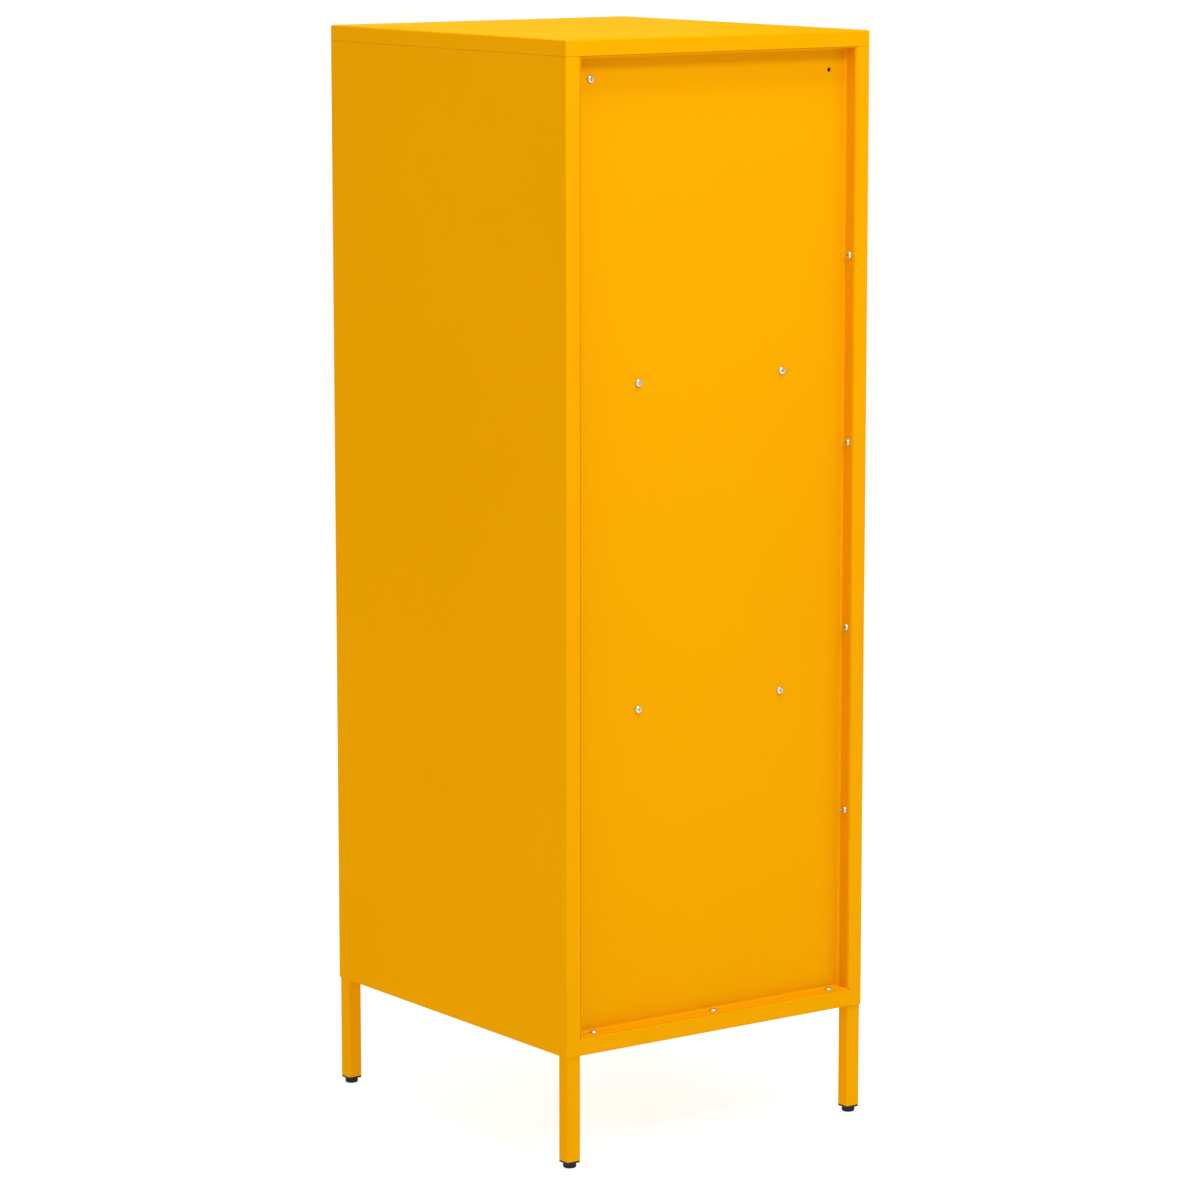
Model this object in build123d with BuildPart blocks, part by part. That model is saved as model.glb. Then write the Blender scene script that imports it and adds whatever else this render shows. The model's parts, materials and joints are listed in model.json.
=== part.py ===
"""Three-tier steel mail locker on four square legs, built up from folded sheet.

Millimetres, +Z up. The origin is on the floor, under the middle of the cabinet.
The doors face -Y, the screwed back panel faces +Y, and X runs across the width.
"""

from build123d import *
import os

os.makedirs("parts", exist_ok=True)

# ---- driving dimensions -------------------------------------------------------------
width = 350.0
depth = 390.0
height = 1045.0

sheet = 0.8            # folded steel sheet
bend = 2.0             # outer radius of the visible folds
seat_gap = 0.2         # between sheets that lie beside each other
weld_bite = 0.2        # how far a welded flange reaches into the sheet it is welded to
cut_past = 1.0         # how far a cutting box runs past what it cuts
tier_names = ["lower", "middle", "upper"]

# legs and feet
leg_size = 15.0
leg_wall = 1.2
leg_length = 100.0
leg_corner = 2.0
plate_size = 46.0
plate_thick = 2.0
bolt_insets = (14.0, 34.0)   # leg bolts, from the body's side
bolt_setback = 43.0          # leg bolts, from the body's front or back
plug_flange = 2.0
plug_edge = 0.6
plug_insert = 14.0
plug_fit = 0.1
pad_radius = 6.3
pad_height = 4.7
pad_low_edge = 1.6
pad_top_edge = 0.7
pad_gap = 0.3
stem_radius = 3.0
stem_length = 20.0

# body
cap_height = 15.0
cap_fold = 1.9         # outer radius of the folds round the top of the cap
cap_edge = 0.6         # rounding under the cap, which draws the seam
lip_width = 15.0       # flanges that the cap is screwed down through
front_flange = 18.0    # face of the front frame at the sides
rail_height = 20.0     # face of the rails between the doors
rail_past_buffer = 3.5 # rail returns, beyond the door buffers
header_height = 8.0    # front header below the cap
header_web = 14.0
recess_depth = 15.0
rear_rail_height = 17.0
rear_rail_mouth = 3.0  # open underneath, between the rear rail's return and its inner web

# back panel
panel_bend = 3.3
panel_flange_short = 1.0
rear_header_height = 27.0
rear_header_below = 2.0
rear_header_flange = 28.0

# screws through the back
shelf_screw_x = 83.5
shelf_screw_drop = 8.0       # below the top of the shelf
corner_screw_inset = 21.0    # from the edge of the recess
corner_screw_drop = 21.3     # below the top edge of the panel
wall_screw_first = 176.0     # above the ledge
wall_screw_last = 195.8      # below the top edge of the panel
wall_screw_count = 4
ledge_screw_inset = 19.0     # from the edge of the recess
cap_screw_y = 110.0

# fasteners
screw_radius = 2.0
screw_head_radius = 3.6
screw_head_height = 2.3
head_rim = 0.35        # straight part of a screw head's rim, as a share of its height
head_dome = (0.66, 0.83)     # a point on the dome, as shares of the head's radius and height
shank_point = 0.4      # chamfer at a screw's end, as a share of its radius
screw_length = 8.0
screw_clear = 0.1
cross_length = 4.2
cross_width = 1.0
cross_depth = 1.3
nut_width = 7.0
nut_thick = 3.0
bolt_radius = 2.5
bolt_head_radius = 4.6
bolt_head_height = 2.7
bolt_length = 13.0
bolt_nut_across = 8.0
bolt_nut_thick = 4.0

# doors
door_setback = 5.0
door_gap = 2.0
door_flange = 15.0
door_bend = 1.6
pin_radius = 2.5
pin_from_edge = 10.0
pin_behind_face = 5.0
pin_reach = 9.0
pin_fit = 0.05
collar_radius = 3.5
collar_height = 3.0
bush_flange_radius = 4.5
bush_sleeve_radius = 3.3
bush_sleeve_length = 2.6
bush_play = 0.1
buffer_length = 20.0
buffer_thick = 6.0
buffer_height = 8.0
buffer_inset = 35.0          # from the door's edge to the buffer's far end
buffer_edge = 1.0
buffer_gap = 0.5

# letter slot and flap
slot_inset = 43.0            # from the door's edge to the end of the slot
slot_height = 27.0
slot_corner = 3.0
flap_overlap = 8.0           # of the flap past each end of the slot
flap_height = 36.0
flap_drop = 40.0             # pivot below the top of the door
flap_sheet = 0.8
flap_fold = 1.2
flap_pin_radius = 1.25
flap_pin_fit = 0.05
flap_hem_gap = 0.4
flap_face_gap = 0.3
slot_below_pivot = 5.5
ear_width = 4.0
ear_gap = 0.5
ear_half_height = 3.0
rivet_end = 1.0
rivet_end_radius = 2.0

# lock
lock_from_edge = 24.0
lock_body_radius = 9.0
lock_flat = 16.0
lock_head_radius = 11.0
lock_head_height = 2.4
lock_head_edge = 1.1
lock_plug_radius = 6.0
lock_plug_proud = 0.9
lock_plug_edge = 0.5
lock_plug_fit = 0.05
lock_nut_across = 23.0
lock_nut_thick = 3.0
lock_fit = 0.1
key_slot_length = 8.0
key_slot_width = 1.6
key_slot_depth = 9.0
cam_thick = 2.0
cam_width = 13.0
cam_reach = 30.0
cam_gap = 1.5
cam_tip_radius = 3.9
tail_radius = 2.5
tail_head_radius = 3.75
tail_head_height = 1.2

# card holder
card_drop = 77.0             # middle of the holder below the flap's pivot
holder_width = 84.0
holder_height = 26.0
holder_thick = 2.0
holder_corner = 2.0
holder_edge = 0.8
holder_border = 5.0
card_margin_side = 1.0       # of the card's pocket, past the window
card_margin_below = 3.0
card_pocket = 0.9
holder_rivet_x = 39.5
holder_rivet_radius = 1.5
holder_rivet_head_radius = 1.9
holder_rivet_head = 0.6
holder_rivet_bed = 0.4       # of the rivet's shank above the frame
holder_rivet_taper = 25.0

# ---- places that follow from them ---------------------------------------------------
half_w = width / 2
half_d = depth / 2
leg_inset = sheet + seat_gap                 # outside of the body to outside of the leg
rear_flange = leg_inset + leg_size           # the rear frame is as wide as the leg below it
leg_base = pad_height + pad_gap + plug_flange
body_base = leg_base + leg_length
body_top = height - cap_height
front_y = -half_d
rear_y = half_d

deck_z = body_base + rail_height             # floor of the lowest compartment
header_z = body_top - header_height
tier_open = (header_z - deck_z - 2 * rail_height) / 3
tier_pitch = tier_open + rail_height
shelf_tops = [deck_z + tier_pitch, deck_z + 2 * tier_pitch]

wall_in = half_w - sheet                     # inner face of a side panel
frame_x = half_w - front_flange              # edge of the front opening
recess_x = half_w - rear_flange              # edge of the rear recess
panel_face = rear_y - recess_depth           # rear face of the back panel
panel_front = panel_face - sheet
panel_x = recess_x - seat_gap
rail_end_x = recess_x + bend                 # where the rear rail's face meets the side's
ledge_z = body_base + rear_rail_height
panel_top = body_top - seat_gap              # the panel's upper flange lies under the cap
inner_rear = panel_front - seat_gap          # where shelves and rear header end
fit_x = wall_in - seat_gap                   # half width of shelves and floor
fit_frame_x = frame_x - seat_gap             # half width of the front rails
leg_out_x = half_w - leg_inset
leg_out_y = half_d - leg_inset
leg_in_x = leg_out_x - leg_size
leg_in_y = leg_out_y - leg_size
leg_top = deck_z - sheet

wall_screw_low = ledge_z + wall_screw_first
wall_screw_high = panel_top - wall_screw_last
wall_screw_step = (wall_screw_high - wall_screw_low) / (wall_screw_count - 1)
wall_screw_zs = [wall_screw_low + i * wall_screw_step for i in range(wall_screw_count)]
recess_mid_y = (panel_face + rear_y) / 2
corner_screw_x = recess_x - corner_screw_inset
corner_screw_z = panel_top - corner_screw_drop
ledge_screw_xs = [ledge_screw_inset - recess_x, 0, recess_x - ledge_screw_inset]
shelf_screw_zs = [top - shelf_screw_drop for top in shelf_tops]

door_face = front_y + door_setback
door_back = door_face + door_flange
return_y = door_back                         # the cam turns in behind the side's front return
rail_return_y = door_back + buffer_gap + buffer_thick + rail_past_buffer
door_x = frame_x - door_gap
door_height = tier_open - 2 * door_gap
door_bottoms = [deck_z + i * tier_pitch + door_gap for i in range(3)]
pin_x = -(door_x - pin_from_edge)
pin_y = door_face + pin_behind_face
lock_x = door_x - lock_from_edge
slot_width = 2 * (door_x - slot_inset)
flap_width = slot_width + 2 * flap_overlap
buffer_x = door_x - buffer_inset
flap_curl = flap_pin_radius + flap_pin_fit + flap_sheet
flap_pivot_y = door_face - flap_face_gap - flap_curl
flap_face_y = flap_pivot_y - flap_curl

corners = {
    "front_left": (-1, -1),
    "front_right": (1, -1),
    "rear_left": (-1, 1),
    "rear_right": (1, 1),
}


# ---- helpers ------------------------------------------------------------------------
def save(part, label):
    """Label one finished piece and write it to its own STEP file."""
    part.label = label
    export_step(part, f"parts/{label}.step")


def span_box(low, high, mode=Mode.ADD):
    """Box between two opposite corners, in the part being built."""
    middle = tuple((a + b) / 2 for a, b in zip(low, high))
    size = tuple(b - a for a, b in zip(low, high))
    with Locations(middle):
        Box(*size, mode=mode)


def folded_section(points, side, radius=bend, thick=sheet):
    """Section of a sheet folded along its outer face; side is where its thickness goes."""
    with BuildSketch() as section:
        with BuildLine():
            FilletPolyline(*points, radius=radius)
            offset(amount=thick, side=side, kind=Kind.TANGENT)
        make_face()
    return section.sketch


def drill(plane, places, radius, reach):
    """Round holes through what stands within reach on both sides of a plane."""
    with BuildSketch(plane) as holes:
        with Locations(*places):
            Circle(radius)
    extrude(holes.sketch, amount=reach, both=True, mode=Mode.SUBTRACT)


def xz_plane(y):
    """Plane across the depth, with local axes along +X and +Z."""
    return Plane.XZ.offset(-y)


def make_screw(radius, length, head_radius, head_height):
    """Domed screw with a cross recess: head above local Z 0, shank below it."""
    with BuildPart() as screw:
        with BuildSketch(Plane.XZ):
            with BuildLine():
                point = radius * shank_point
                rim = head_height * head_rim
                dome = (head_radius * head_dome[0], head_height * head_dome[1])
                Polyline((0, head_height), (0, -length), (radius - point, -length),
                         (radius, -length + point), (radius, 0), (head_radius, 0),
                         (head_radius, rim))
                ThreePointArc((head_radius, rim), dome, (0, head_height))
            make_face()
        revolve(axis=Axis.Z)
        with BuildSketch(Plane.XY.offset(head_height + cross_depth)):
            Rectangle(cross_length, cross_width)
            Rectangle(cross_width, cross_length)
        extrude(amount=-2 * cross_depth, mode=Mode.SUBTRACT)
    return screw.part


def screws_at(planes, screw):
    """One screw on each plane, its head along the plane's normal."""
    with BuildPart() as group:
        with Locations(*[plane.location for plane in planes]):
            add(screw)
    return group.part


# ---- top cap ------------------------------------------------------------------------
lip_screw_x = wall_in - lip_width / 2
lip_front = rail_return_y + seat_gap

with BuildPart() as top_cap:
    with BuildSketch(Plane.XY.offset(body_top)):
        RectangleRounded(width, depth, bend)
    extrude(amount=cap_height)
    fillet(top_cap.faces().sort_by(Axis.Z)[-1].edges(), cap_fold)
    offset(amount=-sheet, openings=top_cap.faces().sort_by(Axis.Z)[0])
    fillet(top_cap.faces().sort_by(Axis.Z)[0].outer_wire().edges(), cap_edge)
    for side in (-1, 1):
        near, far = sorted((side * (wall_in + weld_bite), side * (wall_in - lip_width)))
        span_box((near, lip_front, body_top), (far, inner_rear, body_top + sheet))
    drill(Plane.XY.offset(body_top), [(sx * lip_screw_x, sy * cap_screw_y) for sx in (-1, 1)
          for sy in (-1, 1)], screw_radius + screw_clear, 2 * sheet)
save(top_cap.part, "top_cap")


# ---- side panels --------------------------------------------------------------------
def make_side_panel(side):
    """Side sheet folded round into the front frame and the rear recess; side is +1 or -1."""
    outline = [
        (side * frame_x, return_y),
        (side * frame_x, front_y),
        (side * half_w, front_y),
        (side * half_w, rear_y),
        (side * recess_x, rear_y),
        (side * recess_x, panel_front),
    ]
    inward = Side.LEFT if side > 0 else Side.RIGHT
    with BuildPart() as panel:
        with BuildSketch(Plane.XY.offset(body_base)):
            add(folded_section(outline, inward))
        extrude(amount=body_top - body_base)
        near, far = sorted((side * (wall_in + weld_bite), side * (wall_in - lip_width)))
        span_box((near, lip_front, body_top - sheet), (far, inner_rear, body_top))
        # the returns stop above the floor, so that floor and legs pass under them
        for edge_x, low_y, high_y in (
            (frame_x, front_y + sheet + seat_gap, return_y + cut_past),
            (recess_x, panel_front - cut_past, rear_y - sheet - seat_gap),
        ):
            near, far = sorted((side * (edge_x - cut_past), side * (edge_x + bend)))
            span_box((near, low_y, body_base - cut_past), (far, high_y, deck_z + seat_gap), Mode.SUBTRACT)
        # beside the rear rail the face is cut square, for a butt weld that is dressed flush
        near, far = sorted((side * (recess_x - cut_past), side * rail_end_x))
        span_box((near, panel_front, body_base - cut_past), (far, rear_y + cut_past, ledge_z), Mode.SUBTRACT)
        drill(Plane.YZ.offset(side * recess_x), [(recess_mid_y, z) for z in wall_screw_zs],
              screw_radius + screw_clear, 2 * sheet)
        drill(Plane.XY.offset(body_top), [(side * lip_screw_x, sy * cap_screw_y) for sy in (-1, 1)],
              screw_radius + screw_clear, 2 * sheet)
    return panel.part


save(make_side_panel(-1), "side_panel_left")
save(make_side_panel(1), "side_panel_right")

# ---- back panel: a shallow pan whose edges turn out towards the rear ----------------
panel_rim = rear_y - panel_flange_short

with BuildPart() as back_panel:
    span_box((-panel_x, panel_front, ledge_z), (panel_x, panel_rim, panel_top))
    fillet(back_panel.faces().sort_by(Axis.Y)[0].edges(), panel_bend)
    offset(amount=-sheet, openings=back_panel.faces().sort_by(Axis.Y)[-1])
    drill(xz_plane(panel_face), [(sx * shelf_screw_x, z) for sx in (-1, 1) for z in shelf_screw_zs],
          screw_radius + screw_clear, 2 * sheet)
    drill(xz_plane(panel_face), [(sx * corner_screw_x, corner_screw_z) for sx in (-1, 1)],
          screw_radius + screw_clear, 2 * sheet)
    for side in (-1, 1):
        drill(Plane.YZ.offset(side * panel_x), [(recess_mid_y, z) for z in wall_screw_zs],
              screw_radius + screw_clear, 2 * sheet)
    drill(Plane.XY.offset(ledge_z), [(x, recess_mid_y) for x in ledge_screw_xs],
          screw_radius + screw_clear, 2 * sheet)
save(back_panel.part, "back_panel")

# ---- rails across the width ---------------------------------------------------------
with BuildPart() as rear_bottom_rail:
    with BuildSketch(Plane.YZ):
        add(folded_section([(panel_face + rear_rail_mouth, body_base), (rear_y, body_base),
                            (rear_y, ledge_z), (panel_front, ledge_z),
                            (panel_front, body_base)], Side.LEFT))
    extrude(amount=rail_end_x, both=True)
    for side in (-1, 1):
        near, far = sorted((side * panel_x, side * (rail_end_x + cut_past)))
        span_box((near, panel_front - cut_past, body_base - cut_past),
                 (far, rear_y - sheet, ledge_z + cut_past), Mode.SUBTRACT)
    drill(Plane.XY.offset(ledge_z), [(x, recess_mid_y) for x in ledge_screw_xs],
          screw_radius + screw_clear, 2 * sheet)
save(rear_bottom_rail.part, "rear_bottom_rail")

rear_header_top = panel_top - rear_header_below
rear_header_low = rear_header_top - rear_header_height
with BuildPart() as rear_header:
    with BuildSketch(Plane.YZ):
        add(folded_section([(inner_rear - rear_header_flange, rear_header_top),
                            (inner_rear, rear_header_top), (inner_rear, rear_header_low),
                            (inner_rear - rear_header_flange / 2, rear_header_low)], Side.RIGHT))
    extrude(amount=fit_x, both=True)
    drill(xz_plane(inner_rear), [(sx * corner_screw_x, corner_screw_z) for sx in (-1, 1)],
          screw_radius + screw_clear, 2 * sheet)
save(rear_header.part, "rear_header")

with BuildPart() as front_header:
    with BuildSketch(Plane.YZ):
        add(folded_section([(front_y, body_top), (front_y, header_z), (rail_return_y, header_z),
                            (rail_return_y, header_z + header_web)], Side.LEFT))
    extrude(amount=fit_frame_x, both=True)
    drill(Plane.XY.offset(header_z), [(pin_x, pin_y)], pin_radius + pin_fit, 2 * sheet)
save(front_header.part, "front_header")

# ---- floor and shelves --------------------------------------------------------------
plate_in_x = leg_out_x - plate_size
plate_weld_y = leg_in_y + leg_wall + sheet       # end of the tongue on the tube
plate_near_y = min(leg_in_y, panel_front) - sheet - seat_gap
plate_far_y = leg_out_y - plate_size - leg_size / 2
bolt_places = [(sx * (half_w - inset), sy * (half_d - bolt_setback)) for sx in (-1, 1)
               for sy in (-1, 1) for inset in bolt_insets]

with BuildPart() as bottom_panel:
    with BuildSketch(Plane.YZ):
        add(folded_section([(front_y, body_base), (front_y, deck_z), (inner_rear, deck_z),
                            (inner_rear, body_base)], Side.RIGHT))
    extrude(amount=fit_x, both=True)
    for side in (-1, 1):
        near, far = sorted((side * fit_frame_x, side * half_w))
        span_box((near, front_y, body_base), (far, front_y + bend + seat_gap, deck_z), Mode.SUBTRACT)
        near, far = sorted((side * (plate_in_x - cut_past), side * half_w))
        span_box((near, inner_rear - bend, body_base), (far, inner_rear, deck_z), Mode.SUBTRACT)
    drill(Plane.XY.offset(deck_z), bolt_places, bolt_radius + screw_clear, 2 * sheet)
    drill(Plane.XY.offset(deck_z), [(pin_x, pin_y)], pin_radius + pin_fit, 2 * sheet)
save(bottom_panel.part, "bottom_panel")


def make_shelf(top):
    """Fixed shelf whose front edge is the rail between two doors; top is its upper face."""
    low = top - rail_height
    with BuildPart() as shelf:
        with BuildSketch(Plane.YZ):
            add(folded_section([(rail_return_y, low), (front_y, low), (front_y, top),
                                (inner_rear, top), (inner_rear, low)], Side.RIGHT))
        extrude(amount=fit_x, both=True)
        for side in (-1, 1):
            near, far = sorted((side * fit_frame_x, side * half_w))
            span_box((near, front_y, low), (far, return_y + seat_gap, top), Mode.SUBTRACT)
            near, far = sorted((side * (fit_x - sheet), side * fit_x))
            span_box((near, rail_return_y, low), (far, inner_rear - bend, top - sheet / 2))
        drill(xz_plane(inner_rear), [(sx * shelf_screw_x, top - shelf_screw_drop) for sx in (-1, 1)],
              screw_radius + screw_clear, 2 * sheet)
        drill(Plane.XY.offset(top), [(pin_x, pin_y)], pin_radius + pin_fit, rail_height + sheet)
    return shelf.part


save(make_shelf(shelf_tops[0]), "shelf_lower")
save(make_shelf(shelf_tops[1]), "shelf_upper")


# ---- legs, plugs and levelling feet -------------------------------------------------
def make_leg(sx, sy):
    """Square tube with a bolting plate welded across its top, inside the body's corner."""
    middle = (sx * (leg_out_x - leg_size / 2), sy * (leg_out_y - leg_size / 2))
    near_x, far_x = sorted((sx * leg_out_x, sx * plate_in_x))
    near_y, far_y = sorted((sy * plate_near_y, sy * plate_far_y))
    tongue_x = sorted((sx * leg_out_x, sx * leg_in_x))
    tongue_y = sorted((sy * plate_weld_y, sy * plate_far_y))
    plate_low = leg_top - plate_thick
    with BuildPart() as leg:
        with BuildSketch(Plane.XY.offset(leg_base)):
            with Locations(middle):
                RectangleRounded(leg_size, leg_size, leg_corner)
                RectangleRounded(leg_size - 2 * leg_wall, leg_size - 2 * leg_wall,
                                 leg_corner - leg_wall, mode=Mode.SUBTRACT)
        extrude(amount=leg_top - leg_base)
        span_box((near_x, near_y, plate_low), (far_x, far_y, leg_top))
        span_box((tongue_x[0], tongue_y[0], plate_low), (tongue_x[1], tongue_y[1], leg_top))
        drill(Plane.XY.offset(leg_top), bolt_places, bolt_radius + screw_clear, 2 * plate_thick)
    return leg.part


def make_plug(sx, sy):
    """End plug: a flange under the tube, an insert up inside it, and the foot's thread."""
    middle = (sx * (leg_out_x - leg_size / 2), sy * (leg_out_y - leg_size / 2))
    insert = leg_size - 2 * leg_wall - 2 * plug_fit
    with BuildPart() as plug:
        with BuildSketch(Plane.XY.offset(leg_base - plug_flange)):
            with Locations(middle):
                RectangleRounded(leg_size, leg_size, leg_corner)
        extrude(amount=plug_flange)
        fillet(plug.faces().sort_by(Axis.Z)[0].edges(), plug_edge)
        with BuildSketch(Plane.XY.offset(leg_base)):
            with Locations(middle):
                RectangleRounded(insert, insert, leg_corner - leg_wall)
        extrude(amount=plug_insert)
        drill(Plane.XY.offset(leg_base), [middle], stem_radius + pin_fit, 2 * plug_insert)
    return plug.part


def make_foot(sx, sy):
    """Round pad with a soft lower edge on a threaded stem that turns in the plug."""
    with BuildPart() as foot:
        with Locations((sx * (leg_out_x - leg_size / 2), sy * (leg_out_y - leg_size / 2), 0)):
            Cylinder(pad_radius, pad_height, align=(Align.CENTER, Align.CENTER, Align.MIN))
            fillet(foot.faces().sort_by(Axis.Z)[0].edges(), pad_low_edge)
            fillet(foot.faces().sort_by(Axis.Z)[-1].edges(), pad_top_edge)
            Cylinder(stem_radius, pad_height + stem_length,
                     align=(Align.CENTER, Align.CENTER, Align.MIN))
    return foot.part


for corner, (sx, sy) in corners.items():
    save(make_leg(sx, sy), f"leg_{corner}")
    save(make_plug(sx, sy), f"leg_plug_{corner}")
    save(make_foot(sx, sy), f"foot_{corner}")

# ---- fasteners of the body ----------------------------------------------------------
screw = make_screw(screw_radius, screw_length, screw_head_radius, screw_head_height)
bolt = make_screw(bolt_radius, bolt_length, bolt_head_radius, bolt_head_height)


def rearward(x, z):
    """Plane on the back panel's outer face, facing the rear."""
    return Plane(origin=(x, panel_face, z), x_dir=(1, 0, 0), z_dir=(0, 1, 0))


save(screws_at([rearward(sx * shelf_screw_x, z) for sx in (-1, 1) for z in shelf_screw_zs], screw),
     "shelf_screws")
save(screws_at([rearward(corner_screw_x, corner_screw_z)], screw), "header_screw")
save(screws_at([Plane(origin=(sx * (panel_x - sheet), recess_mid_y, z), x_dir=(0, 1, 0),
                      z_dir=(-sx, 0, 0)) for sx in (-1, 1) for z in wall_screw_zs], screw),
     "wall_screws")
save(screws_at([Plane(origin=(x, recess_mid_y, ledge_z + sheet)) for x in ledge_screw_xs], screw),
     "ledge_screws")
save(screws_at([Plane(origin=(sx * lip_screw_x, sy * cap_screw_y, body_top - sheet), z_dir=(0, 0, -1))
                for sx in (-1, 1) for sy in (-1, 1)], screw), "cap_screws")
save(screws_at([Plane(origin=(x, y, deck_z)) for x, y in bolt_places], bolt), "leg_bolts")

with BuildPart() as cap_nuts:
    with BuildSketch(Plane.XY.offset(body_top + sheet)):
        with Locations(*[(sx * lip_screw_x, sy * cap_screw_y) for sx in (-1, 1) for sy in (-1, 1)]):
            Rectangle(nut_width, nut_width)
            Circle(screw_radius + screw_clear, mode=Mode.SUBTRACT)
    extrude(amount=nut_thick)
save(cap_nuts.part, "cap_nuts")

with BuildPart() as leg_nuts:
    with BuildSketch(Plane.XY.offset(leg_top - plate_thick - bolt_nut_thick)):
        with Locations(*bolt_places):
            RegularPolygon(bolt_nut_across / 2, 6, major_radius=False)
            Circle(bolt_radius + screw_clear, mode=Mode.SUBTRACT)
    extrude(amount=bolt_nut_thick)
save(leg_nuts.part, "leg_nuts")


# ---- hinge pins, fixed in the floor, the shelves and the front header ---------------
def pin_span(low, high, collar_low):
    """One pin between two heights, with a collar that seats it in its rail."""
    with Locations((pin_x, pin_y, low)):
        Cylinder(pin_radius, high - low, align=(Align.CENTER, Align.CENTER, Align.MIN))
    with Locations((pin_x, pin_y, collar_low)):
        Cylinder(collar_radius, collar_height, align=(Align.CENTER, Align.CENTER, Align.MIN))


with BuildPart() as hinge_pins:
    pin_span(deck_z - sheet - collar_height, deck_z + pin_reach, deck_z - sheet - collar_height)
    for top in shelf_tops:
        pin_span(top - rail_height - pin_reach, top + pin_reach, top - rail_height + sheet)
    pin_span(header_z - pin_reach, header_z + sheet + collar_height, header_z + sheet)
save(hinge_pins.part, "hinge_pins")

with BuildPart() as door_buffers:
    for bottom in door_bottoms:
        ceiling = bottom + door_height + door_gap
        span_box((buffer_x, door_back + buffer_gap, ceiling - buffer_height),
                 (buffer_x + buffer_length, door_back + buffer_gap + buffer_thick, ceiling))
    fillet(door_buffers.edges().filter_by(Axis.Z), buffer_edge)
save(door_buffers.part, "door_buffers")


# ---- doors --------------------------------------------------------------------------
def make_door(bottom):
    """Folded pan with the letter slot, the lock's hole, the pivot holes and the flap's ears."""
    pivot_z = bottom + door_height - flap_drop
    lock_z = bottom + door_height / 2
    slot_z = pivot_z - slot_below_pivot - slot_height / 2
    with BuildPart() as door:
        span_box((-door_x, door_face, bottom), (door_x, door_back, bottom + door_height))
        fillet(door.faces().sort_by(Axis.Y)[0].edges(), door_bend)
        offset(amount=-sheet, openings=door.faces().sort_by(Axis.Y)[-1])
        with BuildSketch(xz_plane(door_face)) as slot:
            with Locations((0, slot_z)):
                RectangleRounded(slot_width, slot_height, slot_corner)
        extrude(slot.sketch, amount=2 * sheet, both=True, mode=Mode.SUBTRACT)
        with BuildSketch(xz_plane(door_face)) as lock_hole:
            with Locations((lock_x, lock_z)):
                Circle(lock_body_radius + lock_fit)
                Rectangle(3 * lock_body_radius, lock_flat + 2 * lock_fit, mode=Mode.INTERSECT)
        extrude(lock_hole.sketch, amount=2 * sheet, both=True, mode=Mode.SUBTRACT)
        drill(xz_plane(door_face), [(sx * holder_rivet_x, pivot_z - card_drop) for sx in (-1, 1)],
              holder_rivet_radius + pin_fit, 2 * sheet)
        for z in (bottom, bottom + door_height):
            drill(Plane.XY.offset(z), [(pin_x, pin_y)], bush_sleeve_radius + pin_fit, 2 * sheet)
        for side in (-1, 1):
            near, far = sorted((side * (flap_width / 2 + ear_gap),
                                side * (flap_width / 2 + ear_gap + ear_width)))
            span_box((near, flap_face_y, pivot_z - ear_half_height),
                     (far, door_face + weld_bite, pivot_z + ear_half_height))
        drill(Plane.YZ, [(flap_pivot_y, pivot_z)], flap_pin_radius + flap_pin_fit, flap_width)
    return door.part


def make_bushes(bottom):
    """Two flanged bushes, in the lower and upper pivot holes of one door."""
    top = bottom + door_height
    with BuildPart() as bushes:
        for low, high, sleeve_low in (
            (bottom - door_gap + bush_play, bottom, bottom),
            (top, top + door_gap - bush_play, top - bush_sleeve_length),
        ):
            with Locations((pin_x, pin_y, low)):
                Cylinder(bush_flange_radius, high - low, align=(Align.CENTER, Align.CENTER, Align.MIN))
            with Locations((pin_x, pin_y, sleeve_low)):
                Cylinder(bush_sleeve_radius, bush_sleeve_length,
                         align=(Align.CENTER, Align.CENTER, Align.MIN))
        drill(Plane.XY.offset(bottom), [(pin_x, pin_y)], pin_radius + pin_fit, 2 * door_height)
    return bushes.part


def make_flap(pivot_z):
    """Outside flap: curled round its pin at the top, hemmed back towards the door below."""
    low = pivot_z - flap_height
    with BuildPart() as flap:
        with BuildSketch(Plane.YZ):
            add(folded_section([(door_face - flap_hem_gap, low), (flap_face_y, low),
                                (flap_face_y, pivot_z)], Side.RIGHT, flap_fold, flap_sheet))
            with Locations((flap_pivot_y, pivot_z)):
                Circle(flap_curl)
                Circle(flap_pin_radius + flap_pin_fit, mode=Mode.SUBTRACT)
        extrude(amount=flap_width / 2, both=True)
    return flap.part


def make_flap_pin(pivot_z):
    """Thin pin through the flap's curl and both ears, with upset ends."""
    shank = flap_width / 2 + ear_gap + ear_width
    with BuildPart() as pin:
        with BuildSketch(Plane.YZ):
            with Locations((flap_pivot_y, pivot_z)):
                Circle(flap_pin_radius)
        extrude(amount=shank + rivet_end, both=True)
        for side in (-1, 1):
            with BuildSketch(Plane.YZ.offset(side * shank)):
                with Locations((flap_pivot_y, pivot_z)):
                    Circle(rivet_end_radius)
            extrude(amount=side * rivet_end)
    return pin.part


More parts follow.
